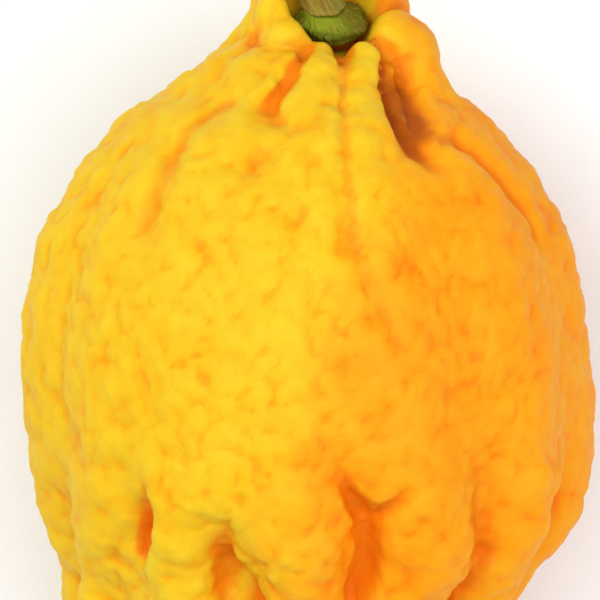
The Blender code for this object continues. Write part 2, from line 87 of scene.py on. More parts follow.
# A finger's half thickness as shares of that at its parting: halfway, and at distances from its tip.
HALFWAY_SHARE = 0.92
TIP_DISTANCES = (8.0, 2.5, 0.0)
TIP_SHARES = (0.72, 0.48, 0.22)

# Carpels of the outer ring. Angles in degrees round the axis, 0 to the right and 90 up, at the
# rib stations, then the fingertip's angle, station and distance from the axis, the finger's half
# thickness where it parts, its bow in degrees, and how far it sinks below the outline.
RIB_STATIONS = (20, 45, 68, 92)
OUTER_CARPELS = (
    ((122, 134, 137, 151), 155, 138, 20, 7.4, 3, 0.5),
    ((108, 116, 117, 126), 121, 152, 13, 6.6, -4, 0),
    ((87, 95, 95, 92), 97, 160, 16, 6.9, -4, 0),
    ((71, 72, 68, 59), 66, 139, 19, 7.3, 4, 0),
    ((49, 40, 37, 35), 39, 155, 14, 7.3, -4, 0),
    ((18, 5, 6, 6), 12, 134, 22, 7.3, 5, 0.6),
    ((-12, -22, -21, -20), -14, 151, 15, 7.4, -5, 0),
    ((-40, -46, -45, -44), -43, 139, 21, 7.5, 4, 0),
    ((-66, -69, -69, -69), -67, 157, 18, 7.6, -5, 0),
    ((-90, -93, -95, -96), -94, 136, 23, 7.3, 3, 0),
    ((-118, -119, -121, -123), -119, 151, 17, 7.7, -5, 0),
    ((-146, -149, -151, -154), -149, 133, 22, 7.5, 5, 0),
    ((166, 162, 166, 173), 179, 154, 16, 7.2, 5, 0),
)
# Inner fingers: angle and distance from the axis at the root and at the tip, tip station and
# half thickness.
INNER_FINGERS = (
    (137, 34, 137, 18, 133, 6.2),
    (111, 27, 116, 8, 137, 6.3),
    (75, 22, 66, 8, 129, 6.0),
    (20, 18, 10, 7, 146, 6.3),
    (-42, 18, -52, 9, 133, 6.3),
    (-96, 18, -92, 6, 143, 6.4),
    (-160, 18, -168, 8, 138, 6.3),
)
INNER_ROOT_STATION = 84.0
INNER_TIP_DISTANCES = (0.0, 2.0, 4.5, 9.0, 40.0)
INNER_TIP_SHARES = (0.2, 0.42, 0.6, 0.74, 1.0)
# The rib that ends above the recess where the first inner finger shows.
SHORT_RIB = (98, 105, 106, 107)
SHORT_RIB_HALF = 8.4
SHORT_RIB_END = 82.0
SHORT_RIB_SINK = 3.5

# The neck leans back towards the sky, and its folds stand round the stem's hollow.
NECK_FOOT = np.array([4.6, -7.8, 1.0])
NECK_LEAN = math.radians(28)
RIM_HEIGHT = 5.0
RIM_RADIUS = 9.8
NECK_RADIUS = 11.0
# Folds: angle round the neck, angle round the belly where it fades, half thickness, extra rise.
NECK_FOLDS = (
    (167, 124, 3.9, 2.2),
    (140, 113, 4.5, -0.8),
    (109, 89, 4.3, -3.0),
    (63, 70, 4.1, -3.6),
    (12, 14, 5.8, -3.7),
    (-42, -36, 4.6, 1.6),
    (-94, -90, 4.8, 2.2),
    (-144, -142, 4.8, 2.6),
)
FOLD_STATIONS = (14.0, 20.0, 27.0)
FOLD_TURNS = (0.4, 0.75, 1.0)
FOLD_PROUD = (1.2, 1.0, -0.4)
FOLD_SHARES = (0.82, 0.95, 1.0, 1.0, 0.95, 0.8)
HOLLOW_RADIUS = 7.6
HOLLOW_FLOOR = -0.3
HOLLOW_TOP = 16.0
HOLLOW_FLARE = 1.5

# Creases pressed into the skin: their (station, angle) points, half width and depth.
CREASES = (
    (((10, 51), (14, 54), (18.5, 57.5), (22, 57.5), (26, 54)), 1.8, 3.7),
    (((11, 35), (14, 39), (18, 45.5), (22, 53), (24, 55)), 1.8, 3.2),
    (((12, 43), (16, 50), (21, 55)), 3.6, 2.7),
    (((21.5, 53), (22, 46), (23, 38), (28, 31), (35, 25), (41, 23)), 1.7, 1.6),
    (((9, 105), (13, 102.5), (15, 104), (17, 106), (20, 98)), 1.7, 2.4),
    (((3, 80), (8, 78), (13, 78)), 1.5, 1.8),
    (((12, 78), (23, 79), (30, 79), (38, 79), (51, 73)), 1.8, 1.3),
    (((16, 117), (18, 125), (21, 129), (29, 126.5), (38, 127)), 2.4, 1.5),
    (((22, 98), (26, 103), (31, 107)), 2.0, 1.2),
    (((49, 149), (60, 149), (70, 148.5)), 1.9, 0.9),
    (((61, 66), (61.5, 57), (61, 45), (56, 36)), 2.0, 0.7),
    (((76, 125), (81, 126.5)), 1.2, 1.6),
    (((80.5, 126.5), (84.5, 127.5), (88, 130)), 2.2, 5.0),
    (((84, 109), (88, 110.5), (94, 110)), 2.6, 3.0),
    (((74, 84), (78, 81.5), (81, 78), (89, 75.5)), 1.8, 3.0),
    (((77, 72), (80, 75.5), (83, 77)), 1.6, 2.4),
    (((87.5, 46), (89.5, 45)), 1.5, 2.0),
)
CREASE_FADE = 4.0
CREASE_REACH = 12.0

# Widths over which the joined forms blend: at the neck, on the belly and among the fingers.
NECK_BLEND = 1.6
BELLY_BLEND = 3.6
FINGER_BLEND = 2.6
HOLLOW_BLEND = 1.6
TUBE_MARGIN = 22.0

# Calyx and stem, which lean to the left as they rise.
CALYX_RADIUS = 6.15
CALYX_LOBES = 5
CALYX_TOP = 6.3
STEM_RADIUS = 3.3
STEM_LENGTH = 9.5
STEM_LEAN = -0.5
LEAN_START = 3.6
MATING_GAP = 0.35

# Skin relief.
RELIEF_SEED = 11
LUMP_SIZE = 12.0
LUMP_HEIGHT = 1.0
WART_SIZE = 8.0
WART_HEIGHT = 0.6
WART_STRETCH = np.array([1.0, 0.62, 1.0])
LATTICE_TURN = np.array([[0.64, 0.6, 0.48], [-0.48, 0.8, -0.36], [-0.6, 0.0, 0.8]])
CALM_AT_HOLLOW = (9.0, 15.0)
FINGER_CALM = 0.35
FINGER_STATIONS = (95.0, 130.0)

# How finely the rind is found: the size of its squares and the steps that feel for its slope.
SKIN_STEP = 0.86
SLOPE_STEP = 0.05
LONGEST_STEP = 1.2
SETTLING_ROUNDS = 3
OUTWARD_STEP = 0.3
JOINING_GAP = 1e-6

# Small relief. The lattice of the warts is bent by two waves, the second finer and weaker.
GRAIN_SEED = 5
BEND_SIZE = 7.0
BEND_REACH = 2.2
FINE_BEND_SIZE = 0.4 * BEND_SIZE
FINE_BEND_REACH = 0.45 * BEND_REACH
BEND_SHIFTS = (0.3, 11.7, 23.1)
FINE_BEND_SHIFTS = (3.3, 31.7, 43.1)
# Warts: share of their size, shift of their lattice, and weight in the height and in the colour.
SMALL_WARTS_SIZE = 4.4
SMALL_WARTS_HEIGHT = 1.0
SMALL_WARTS_STRETCH = np.array([1.0, 0.85, 1.0])
MEAN_WART = 0.45
WART_LAYERS = ((1.0, 0.0, 0.6, 0.4), (1.7, 9.3, 0.45, 0.25), (0.5, 5.1, 0.5, 0.35))
# How patchy they stand: mean, swing, and the least and the most of it, over so many millimetres.
PATCHES = (0.95, 0.7, 0.55, 1.4)
PATCHES_SIZE = 14
# Towards the stem the warts sink and wrinkles along the neck take over.
NECK_STATIONS = (10, 36)
NECK_SINK = 0.4
WRINKLE_SIZE = 3.0
WRINKLE_STRETCH = np.array([1, 0.2, 1])
WRINKLE_HEIGHT = 0.4
WRINKLE_DROP = 0.6
CALM_NEAR_STEM = (8, 13)
LEAST_RELIEF = 0.15

# What the rind's colours follow. Its points are eased over their neighbours, a little and a lot.
EASE = 0.6
NEAR_ROUNDS = 6
WIDE_ROUNDS = 40
SHUT_REACH = 5.0
# It is more orange to the right of a line that crosses the fruit from the neck to the fingers: partly riper
# skin and partly painted shade on the side turned from the window light.
RIPE_AND_SHADE_AT_NECK = 16.0
RIPE_AND_SHADE_AT_FINGERS = -4.0
RIPE_AND_SHADE_TURN = (15.0, 80.0)
# The clefts right of the neck get the darkest painted shadow, and the fold beside them, turned from the
# light, gets orange painted shade.
DARK_SIDE = (5, 10)
DARK_STATIONS = (30, 45)
FLANK_SIDE = (12, 19)
FLANK_STATIONS = (6, 15)
HOLLOW_HEIGHT = 3

# Turned profiles: heights above the neck's foot and distances from its axis, and how finely.
CALYX_RINGS = (
    (0.15, 1.6), (0.5, 2.6), (1.0, 3.5), (2.0, 4.75), (3.0, 5.6), (4.0, CALYX_RADIUS),
    (4.45, CALYX_RADIUS - 0.15), (4.7, CALYX_RADIUS - 0.9), (5.0, 4.55), (5.7, 3.9),
    (CALYX_TOP, 3.55),
)
STEM_FOOT = CALYX_TOP + MATING_GAP
STEM_END = STEM_FOOT + STEM_LENGTH
STEM_RINGS = (
    (STEM_FOOT, 2.2), (STEM_FOOT, STEM_RADIUS + 0.1), (STEM_FOOT + 0.2, STEM_RADIUS + 0.25),
    (STEM_FOOT + 1.0, STEM_RADIUS + 0.05), (STEM_FOOT + 2.6, STEM_RADIUS - 0.2),
    (STEM_FOOT + 0.6 * STEM_LENGTH, STEM_RADIUS - 0.25), (STEM_END - 0.4, STEM_RADIUS - 0.05),
    (STEM_END, STEM_RADIUS - 0.4), (STEM_END - 0.1, 1.4),
)
CALYX_ROWS, CALYX_SIDES = 90, 240
STEM_ROWS, STEM_SIDES = 110, 140
CALYX_BRIM = (4.0, 5.6)
CALYX_UPPER = (4.3, 4.8)
LOBE_DEPTH = 0.15
CALYX_INSET = 0.05
STEM_INSET = 0.04
CUT_EDGE = 0.25

# Colours of the rind in linear light. The tints multiply what lies under them.
# LEMON goes over to ORANGE towards the right: partly riper skin, partly painted shade on the side away from
# the window light.
LEMON = (0.83, 0.492, 0.010, 1)
ORANGE = (0.91, 0.342, 0.005, 1)
# Painted light: ridges are made lighter yellow.
RIDGE_PAINTED_LIGHT = (1.0, 1.12, 1.4, 1)
PATCH_TINT = (1.02, 0.86, 0.7, 1)
MOTTLE_TINT = (1.02, 0.83, 0.7, 1)
# Painted highlight on wart tops, and painted shade in the gaps between warts and in small dips.
WART_TOP_PAINTED_LIGHT = (1.0, 1.09, 1.7, 1)
WART_GAP_PAINTED_SHADE = (1.03, 0.77, 0.5, 1)
DIP_PAINTED_SHADE = (1.03, 0.68, 0.5, 1)
# Painted shade: orange on the fold right of the neck that turns from the light, orange in clefts, enclosed
# skin and creases, and the darkest brown painted shadow in the clefts right of the neck.
FLANK_PAINTED_SHADE = (0.86, 0.26, 0.004, 1)
CLEFT_PAINTED_SHADE = (0.86, 0.17, 0.002, 1)
SHUT_PAINTED_SHADE = (0.78, 0.17, 0.002, 1)
CREASE_PAINTED_SHADE = (0.84, 0.20, 0.003, 1)
DEEP_CLEFT_PAINTED_SHADOW = (0.38, 0.068, 0.0015, 1)
FRECKLE_BROWN = (0.70, 0.30, 0.015, 1)
HOLLOW_OLIVE = (0.50, 0.30, 0.01, 1)

# Colours of the calyx, the stem and the table.
DOME_GREEN = (0.22, 0.27, 0.010, 1)
BRIM_GREEN = (0.10, 0.115, 0.005, 1)
# Painted shade: darker olive on the calyx's right side, away from the light.
CALYX_RIGHT_PAINTED_SHADE = (0.125, 0.095, 0.004, 1)
VEIN_GREEN = (0.33, 0.38, 0.03, 1)
WORN_BROWN = (0.20, 0.115, 0.012, 1)
BARK_BROWN = (0.21, 0.135, 0.02, 1)
BARK_OLIVE = (0.33, 0.25, 0.035, 1)
BARK_GREEN = (0.20, 0.21, 0.02, 1)
BARK_DOT = (0.5, 0.38, 0.16, 1)
WOOD_DARK = (0.55, 0.42, 0.2, 1)
WOOD_PALE = (0.68, 0.56, 0.32, 1)
CUT_RIM = (0.25, 0.2, 0.05, 1)
TABLE_SHADES = ((0.89, 0.93, 0.96, 1), (0.91, 0.95, 0.98, 1))

# Soft lights: name, place and side in metres, and power in watts. They face the fruit's middle.
SOFT_LIGHTS = (
    ("window", (-0.78, 0.52, 0.98), 0.7, 6.7),
    ("ceiling", (0.0, 0.0, 1.5), 1.5, 14.5),
    ("fill", (0.75, -0.25, 0.7), 0.7, 3.1),
)
LIT_POINT = (0, 0, 0.045)
SKY_STRENGTH = 0.36
# The camera looks straight down through a long lens.
CAMERA_PLACE = (-0.00159, 0.02638, 0.745)
LENS = 252
SENSOR = 36
TABLE_HALF = 3.0


def smooth_curve(stations, values):
    """A function through the values: cubic pieces whose slopes are the mean slopes at the stations."""
    x = np.asarray(stations, float)
    v = np.asarray(values, float)
    slope = np.gradient(v, x)

    def at(where):
        where = np.clip(np.asarray(where, float), x[0], x[-1])
        i = np.clip(np.searchsorted(x, where, side="right") - 1, 0, len(x) - 2)
        gap = x[i + 1] - x[i]
        t = (where - x[i]) / gap
        ends = (1 + 2 * t) * (1 - t) ** 2 * v[i] + t**2 * (3 - 2 * t) * v[i + 1]
        slopes = t * (1 - t) ** 2 * slope[i] + t**2 * (t - 1) * slope[i + 1]
        return ends + gap * slopes

    return at


outline = smooth_curve(OUTLINE_STATIONS, OUTLINE_HALF_WIDTHS)
sway = smooth_curve(SWAY_STATIONS, SWAYS)


def smooth_step(low, high, x):
    t = np.clip((x - low) / (high - low), 0, 1)
    return t * t * (3 - 2 * t)


def round_the_axis(station, angle, reach):
    """Points at a station, at an angle in degrees and at a distance from the axis."""
    turn = np.radians(angle)
    x = reach * np.cos(turn) + sway(station)
    z = DEPTH_SHARE * reach * np.sin(turn)
    return np.stack(np.broadcast_arrays(x, -np.asarray(station, float), z), axis=-1)


def neck_point(height, angle, reach):
    """A point above the neck's foot, at an angle in degrees and at a distance from its leaning axis."""
    turn = math.radians(angle)
    up = np.array([0, math.cos(NECK_LEAN), math.sin(NECK_LEAN)])
    out = np.array([0, -math.sin(NECK_LEAN), math.cos(NECK_LEAN)])
    side = np.array([math.cos(turn), 0, 0])
    return NECK_FOOT + height * up + reach * (side + math.sin(turn) * out)


def outer_carpel(angles, tip_angle, tip_station, tip_reach, thickness, bow, sink):
    """A carpel's centre line and half thickness: a rib sunk in the belly, then a tapering finger."""
    angle = smooth_curve((*RIB_STATIONS, tip_station), (*angles, tip_angle))
    free = tip_station - PARTING_STATION
    tip = tip_station - np.array(TIP_DISTANCES)
    half = smooth_curve(
        (*RIB_ENDS, PARTING_STATION, PARTING_STATION + 0.5 * free, *tip),
        (*RIB_HALVES, thickness, HALFWAY_SHARE * thickness, *(thickness * np.array(TIP_SHARES))),
    )
    station = np.concatenate([
        np.linspace(RIB_START, CURL_START - 2, 10),
        np.linspace(CURL_START + 2, tip[0], 9),
        [tip_station - 5],
        tip[1:],
    ])
    thick = half(station)
    own = np.clip((station - CURL_START) / (tip_station - CURL_START), 0, 1) ** CURL
    below = thick + sink * smooth_step(70, PARTING_STATION, station)
    reach = (1 - own) * (outline(station) - below) + own * tip_reach
    run = np.clip((station - PARTING_STATION) / free, 0, 1)
    swing = bow * np.sin(2 * math.pi * run**0.8)
    return round_the_axis(station, angle(station) + swing, reach), thick


def inner_finger(root_angle, root_reach, tip_angle, tip_reach, tip_station, thickness):
    """An inner finger's centre line and half thickness, rooted in the palm."""
    station = np.concatenate([
        np.linspace(INNER_ROOT_STATION, tip_station - 7, 8),
        tip_station - np.array(INNER_TIP_DISTANCES[2::-1]),
    ])
    along = smooth_step(INNER_ROOT_STATION, tip_station, station)
    thick = thickness * np.interp(tip_station - station, INNER_TIP_DISTANCES, INNER_TIP_SHARES)
    angle = root_angle + (tip_angle - root_angle) * along
    reach = root_reach + (tip_reach - root_reach) * along
    return round_the_axis(station, angle, reach), thick


def short_rib():
    """The rib that has no outer finger and sinks into the palm."""
    station = np.linspace(RIB_START + 2, SHORT_RIB_END, 9)
    angle = smooth_curve(RIB_STATIONS, SHORT_RIB)(station)
    thick = SHORT_RIB_HALF * smooth_step(RIB_START - 8, RIB_START + 14, station)
    sink = SHORT_RIB_SINK * smooth_step(SHORT_RIB_END - 8, SHORT_RIB_END, station)
    return round_the_axis(station, angle, outline(station) - thick - sink), thick


def neck_fold(neck_angle, belly_angle, half, rise):
    """A thick fold from the rim of the hollow, over the neck, until it fades into the shoulder."""
    top = RIM_HEIGHT + rise
    rim = [
        neck_point(top, neck_angle, RIM_RADIUS),
        neck_point(0.5 * top, neck_angle, 0.5 * (RIM_RADIUS + NECK_RADIUS)),
        neck_point(-0.5, neck_angle, NECK_RADIUS),
    ]
    station = np.array(FOLD_STATIONS)
    angle = neck_angle + np.array(FOLD_TURNS) * (belly_angle - neck_angle)
    reach = outline(station) - half + np.array(FOLD_PROUD)
    path = np.vstack([rim, round_the_axis(station, angle, reach)])
    return path, half * np.array(FOLD_SHARES)


def all_tubes():
    """Centre lines and half thicknesses of everything that swells from the belly."""
    tubes = [outer_carpel(*row) for row in OUTER_CARPELS]
    tubes += [inner_finger(*row) for row in INNER_FINGERS]
    tubes.append(short_rib())
    tubes += [neck_fold(*row) for row in NECK_FOLDS]
    return tubes


def unrolled(p):
    """Station, angle and share of the outline's half width of points round the axis."""
    station = -p[:, 1]
    x = p[:, 0] - sway(station)
    z = p[:, 2] / DEPTH_SHARE
    return station, np.arctan2(z, x), np.hypot(x, z)


def crease_depth(p):
    """How far the creases press in: rounded grooves along lines on the unrolled skin, fading at both ends."""
    station, angle, reach = unrolled(p)
    half_width = outline(station)
    shallow = smooth_step(half_width - CREASE_REACH, half_width - 0.5 * CREASE_REACH, reach)
    total = np.zeros(len(p))
    for points, half, depth in CREASES:
        s, a = np.array(points, float).T
        near = np.flatnonzero(
            (station > s.min() - 3 * half) & (station < s.max() + 3 * half) & (shallow > 0)
        )
        radius = outline(0.5 * (s.min() + s.max()))
        line = np.stack([s, radius * np.radians(a)], axis=1)
        flat = np.stack([station[near], radius * angle[near]], axis=1)
        least = np.full(len(near), 1e3)
        along = np.zeros(len(near))
        lengths = np.linalg.norm(np.diff(line, axis=0), axis=1)
        before = np.concatenate([[0], np.cumsum(lengths)])
        for p0, p1, length, start in zip(line[:-1], line[1:], lengths, before):
            link = (p1 - p0) / length
            t = np.clip((flat - p0) @ link, 0, length)
            away = np.linalg.norm(flat - p0 - t[:, None] * link, axis=1)
            along = np.where(away < least, start + t, along)
            least = np.minimum(least, away)
        fade = smooth_step(-CREASE_FADE, CREASE_FADE, np.minimum(along, before[-1] - along))
        total[near] = np.maximum(total[near], depth * fade * np.exp(-((least / half) ** 2)))
    return total * shallow


def belly_distance(p):
    """Distance to the belly's ellipsoid, nearly: the scaled length over the length of its slope."""
    along = p[:, 1] + BELLY_STATION
    length = np.where(along > 0, SHOULDER_LENGTH, PALM_LENGTH)
    radii = np.stack(
        [
            np.full(len(p), BELLY_HALF_WIDTH),
            length,
            np.full(len(p), DEPTH_SHARE * BELLY_HALF_WIDTH),
        ],
        axis=1,
    )
    q = np.stack([p[:, 0] - sway(-p[:, 1]), along, p[:, 2]], axis=1) / radii
    scaled = np.linalg.norm(q, axis=1)
    slope = np.linalg.norm(q / radii, axis=1)
    return scaled * (scaled - 1) / np.maximum(slope, 1e-6)


def tube_distance(p, path, half):
    """Distance to a chain of cones: at each point the least over the links, less the half thickness."""
    best = np.full(len(p), 1e3)
    near = np.all((p > path.min(0) - TUBE_MARGIN) & (p < path.max(0) + TUBE_MARGIN), axis=1)
    q = p[near]
    least = np.full(len(q), 1e3)
    for a, b, ra, rb in zip(path[:-1], path[1:], half[:-1], half[1:]):
        link = b - a
        t = np.clip((q - a) @ link / (link @ link), 0, 1)
        d = np.linalg.norm(q - a - t[:, None] * link, axis=1) - ra - t * (rb - ra)
        least = np.minimum(least, d)
    best[near] = least
    return best


def blend_union(a, b, width):
    """The nearer of two distances, with the corner between them filled over a width."""
    overlap = np.clip(width - np.abs(a - b), 0, None) / width
    return np.minimum(a, b) - overlap**2 * width / 4


class Noise:
    """Smooth random values: slopes drawn for the corners of a cubic lattice and blended between."""

    def __init__(self, seed):
        draw = np.random.default_rng(seed)
        self.order = draw.permutation(256)
        slopes = draw.normal(size=(256, 3))
        self.slopes = slopes / np.linalg.norm(slopes, axis=1)[:, None]
        self.shifts = draw.uniform(0.05, 0.95, size=(256, 3))

    def pick(self, cell):
        i, j, k = (cell & 255).T
        return self.order[(self.order[(self.order[i] + j) & 255] + k) & 255]

    def waves(self, p):
        cell = np.floor(p).astype(int)
        f = p - cell
        ease = f**3 * (f * (6 * f - 15) + 10)
        total = np.zeros(len(p))
        for corner in np.ndindex(2, 2, 2):
            c = np.array(corner)
            share = np.prod(np.where(c, ease, 1 - ease), axis=1)
            total += share * np.einsum("ij,ij->i", self.slopes[self.pick(cell + c)], f - c)
        return total

    def warts(self, p):
        """One round wart for each lattice cell: 1 at its top, 0 in the gaps between."""
        cell = np.floor(p).astype(int)
        nearest = np.full(len(p), 9.0)
        for step in np.ndindex(3, 3, 3):
            near = cell + np.array(step) - 1
            away = near + self.shifts[self.pick(near)] - p
            nearest = np.minimum(nearest, np.einsum("ij,ij->i", away, away))
        return np.clip(1 - nearest / 0.72, 0, 1)


noise = Noise(RELIEF_SEED)


def skin_relief(p):
    """Height of the rind over its form: broad lumps, and warts drawn out along the fruit."""
    turned = (p * WART_STRETCH) @ LATTICE_TURN
    lumps = noise.waves(turned / LUMP_SIZE)
    warts = noise.warts(turned / WART_SIZE) - 0.45
    hollow = np.linalg.norm(p - neck_point(4, 0, 0), axis=1)
    calm = smooth_step(*CALM_AT_HOLLOW, hollow)
    calm *= 1 - FINGER_CALM * smooth_step(*FINGER_STATIONS, -p[:, 1])
    return calm * (LUMP_HEIGHT * lumps + WART_HEIGHT * warts)


TUBES = all_tubes()
HOLLOW_LINE = np.array([neck_point(h, 0, 0) for h in (HOLLOW_FLOOR + HOLLOW_RADIUS, HOLLOW_TOP)])
HOLLOW_HALF = np.array([HOLLOW_RADIUS, HOLLOW_RADIUS + HOLLOW_FLARE])


def skin_distance(p):
    """Signed distance to the rind, nearly: belly and tubes blended, hollow and creases pressed in."""
    station = -p[:, 1]
    width = NECK_BLEND + (BELLY_BLEND - NECK_BLEND) * smooth_step(12, 22, station)
    width += (FINGER_BLEND - BELLY_BLEND) * smooth_step(80, 96, station)
    d = belly_distance(p)
    for path, half in TUBES:
        d = blend_union(d, tube_distance(p, path, half), width)
    d = -blend_union(-d, tube_distance(p, HOLLOW_LINE, HOLLOW_HALF), HOLLOW_BLEND)
    return d + crease_depth(p) - skin_relief(p)


def settle_on_skin(p, rounds=5):
    """Moves points down the slope of the distance until they lie on the rind."""
    for _ in range(rounds):
        d = skin_distance(p)
        beside = [skin_distance(p + e) for e in SLOPE_STEP * np.eye(3)]
        slope = (np.stack(beside, axis=1) - d[:, None]) / SLOPE_STEP
        steepness = np.maximum(np.einsum("ij,ij->i", slope, slope), 0.05)
        step = slope * (d / steepness)[:, None]
        far = np.maximum(np.linalg.norm(step, axis=1), SLOPE_STEP)
        p = p - step * np.minimum(1, LONGEST_STEP / far)[:, None]
    return p


def lay_down(p):
    """From the fruit's own frame in millimetres to the surface's frame in metres."""
    c, s = math.cos(TILT), math.sin(TILT)
    x, y, z = np.moveaxis(np.asarray(p, float), -1, 0)
    placed = np.stack([x, y * c - z * s, y * s + z * c], axis=-1) + RIM_PLACE
    return placed * MM


def pick_up(p):
    """The way back: from metres in the surface's frame to millimetres in the fruit's own."""
    c, s = math.cos(TILT), math.sin(TILT)
    x, y, z = np.moveaxis(np.asarray(p, float) / MM - RIM_PLACE, -1, 0)
    return np.stack([x, y * c + z * s, z * c - y * s], axis=-1)


def placed_in_scene(name, data):
    made = bpy.data.objects.new(name, data)
    bpy.context.scene.collection.objects.link(made)
    return made


def points_of(mesh):
    co = np.empty(len(mesh.vertices) * 3, np.float32)
    mesh.vertices.foreach_get("co", co)
    return co.reshape(-1, 3).astype(float)


def edges_of(mesh):
    ends = np.empty(len(mesh.edges) * 2, np.int32)
    mesh.edges.foreach_get("vertices", ends)
    return ends.reshape(-1, 2)


def set_points(mesh, points):
    mesh.vertices.foreach_set("co", points.astype(np.float32).ravel())
    mesh.update()


def paint(mesh, name, values):
    """Stores one number for each point, for the material to read."""
    layer = mesh.attributes.new(name, "FLOAT", "POINT")
    layer.data.foreach_set("value", np.asarray(values, np.float32).ravel())


def evenly_skinned(node):
    """A fine, even skin of small squares over a merged copy of a node's mesh."""
    bm = bmesh.new()
    bm.from_mesh(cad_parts[node].data)
    bmesh.ops.remove_doubles(bm, verts=bm.verts[:], dist=JOINING_GAP)
    bmesh.ops.scale(bm, vec=(1 / MM,) * 3, verts=bm.verts[:])
    copy = bpy.data.meshes.new("rind")
    bm.to_mesh(copy)
    bm.free()
    rough = placed_in_scene("rough", copy)
    remesh = rough.modifiers.new("fine faces", "REMESH")
    remesh.mode = "VOXEL"
    remesh.voxel_size = SKIN_STEP
    graph = bpy.context.evaluated_depsgraph_get()
    mesh = bpy.data.meshes.new_from_object(rough.evaluated_get(graph))
    bpy.data.objects.remove(rough)
    return mesh


def neighbour_mean(points, edges, rounds):
    """Points eased a number of times, each of them part of the way to its neighbours' mean."""
    count = np.bincount(edges.ravel(), minlength=len(points))[:, None]
    for _ in range(rounds):
        total = np.stack([
            np.bincount(edges[:, 0], points[edges[:, 1], k], len(points))
            + np.bincount(edges[:, 1], points[edges[:, 0], k], len(points))
            for k in range(points.shape[1])
        ], axis=1)
        points = (1 - EASE) * points + EASE * total / np.maximum(count, 1)
    return points


def skin_slope(p):
    """The direction straight out of the rind at each point."""
    beside = [skin_distance(p + e) - skin_distance(p - e) for e in OUTWARD_STEP * np.eye(3)]
    out = np.stack(beside, axis=1)
    return out / np.maximum(np.linalg.norm(out, axis=1), 1e-9)[:, None]


grain = Noise(GRAIN_SEED)


def waves_each_way(p, shifts):
    """Three waves of the same size, one for each direction in which they push."""
    return np.stack([grain.waves(p + k) for k in shifts], axis=1)


def fine_relief(p):
    """Height of the rind's small bumps, and how near each point is to a wart's top.

    Round warts of three sizes stand on a bent lattice, in patches. Towards the stem they sink, and
    folds of a wave that is drawn out along the neck rise instead. In the hollow nearly all is calm.
    """
    bent = p + BEND_REACH * waves_each_way(p / BEND_SIZE, BEND_SHIFTS)
    bent += FINE_BEND_REACH * waves_each_way(p / FINE_BEND_SIZE, FINE_BEND_SHIFTS)
    turned = (bent * SMALL_WARTS_STRETCH) @ LATTICE_TURN
    height = np.zeros(len(p))
    tops = np.zeros(len(p))
    for size, shift, rise, tone in WART_LAYERS:
        warts = grain.warts(turned / (size * SMALL_WARTS_SIZE) + shift)
        height += rise * (warts - MEAN_WART)
        tops += tone * warts
    mean, swing, least, most = PATCHES
    patchy = np.clip(mean + swing * grain.waves(p / PATCHES_SIZE), least, most)
    neck = 1 - smooth_step(*NECK_STATIONS, -p[:, 1])
    folds = 1 - 2 * np.abs(grain.waves(bent * WRINKLE_STRETCH / WRINKLE_SIZE))
    hollow = np.linalg.norm(p - neck_point(4, 0, 0), axis=1)
    lively = LEAST_RELIEF + (1 - LEAST_RELIEF) * smooth_step(*CALM_NEAR_STEM, hollow)
    bumps = patchy * SMALL_WARTS_HEIGHT * (1 - NECK_SINK * neck) * height
    return lively * (bumps + neck * WRINKLE_HEIGHT * (folds - WRINKLE_DROP)), tops


def paint_rind(mesh, p, out, tops):
    """Stores what the rind's colours follow.

    dip and cleft are how far a point lies under the mean of the skin close to it and round it; they steer
    painted shade in hollows, and painted light on ridges where cleft is below zero. wart is how near it is
    to a wart's top, for a painted highlight there and painted shade between, and pressed is the depth of
    its crease, for painted shade. shut is the share of a straight way out that other skin takes up, for
    painted shade where skin closes round. A further value is how far to the right of a slanting line a
    point lies, where the skin turns orange, partly riper and partly painted shade; deep is the crease
    depth right of the neck, for the darkest painted shadow; another marks the fold there, for orange
    painted shade; and hollow is how far it is from the stem's foot.
    """
    edges = edges_of(mesh)
    near = neighbour_mean(p, edges, NEAR_ROUNDS)
    wide = neighbour_mean(near, edges, WIDE_ROUNDS)
    across, station = p[:, 0], -p[:, 1]
    pressed = crease_depth(p)
    # Right of this line the skin turns orange: partly riper, partly painted shade.
    ripe_and_shade_line = RIPE_AND_SHADE_AT_NECK + (RIPE_AND_SHADE_AT_FINGERS - RIPE_AND_SHADE_AT_NECK) * smooth_step(*RIPE_AND_SHADE_TURN, station)
    # Masks for the darkest painted shadow in the clefts right of the neck and for painted shade on the fold
    # beside them.
    dark = smooth_step(*DARK_SIDE, across) * (1 - smooth_step(*DARK_STATIONS, station))
    shaded_flank = smooth_step(*FLANK_SIDE, across) * (1 - smooth_step(*FLANK_STATIONS, station))
    paint(mesh, "dip", np.einsum("ij,ij->i", near - p, out))
    paint(mesh, "cleft", np.einsum("ij,ij->i", wide - p, out))
    paint(mesh, "wart", tops)
    paint(mesh, "pressed", pressed)
    paint(mesh, "shut", 1 - skin_distance(p + SHUT_REACH * out) / SHUT_REACH)
    paint(mesh, "ripe_and_shaded_side", across - ripe_and_shade_line)
    paint(mesh, "deep", pressed * dark)
    paint(mesh, "shaded_flank", shaded_flank)
    paint(mesh, "hollow", np.linalg.norm(p - neck_point(HOLLOW_HEIGHT, 0, 0), axis=1))


def make_rind():
    """The fruit's skin: settled on its form, then raised along its slope by the small relief."""
    mesh = evenly_skinned("fruit")
    p = settle_on_skin(pick_up(points_of(mesh) * MM), SETTLING_ROUNDS)
    relief, tops = fine_relief(p)
    out = skin_slope(p)
    p = p + out * relief[:, None]
    set_points(mesh, np.clip(lay_down(p), *packed_bounds))
    paint_rind(mesh, p, out, tops)
    mesh.shade_smooth()
    return placed_in_scene("rind", mesh)


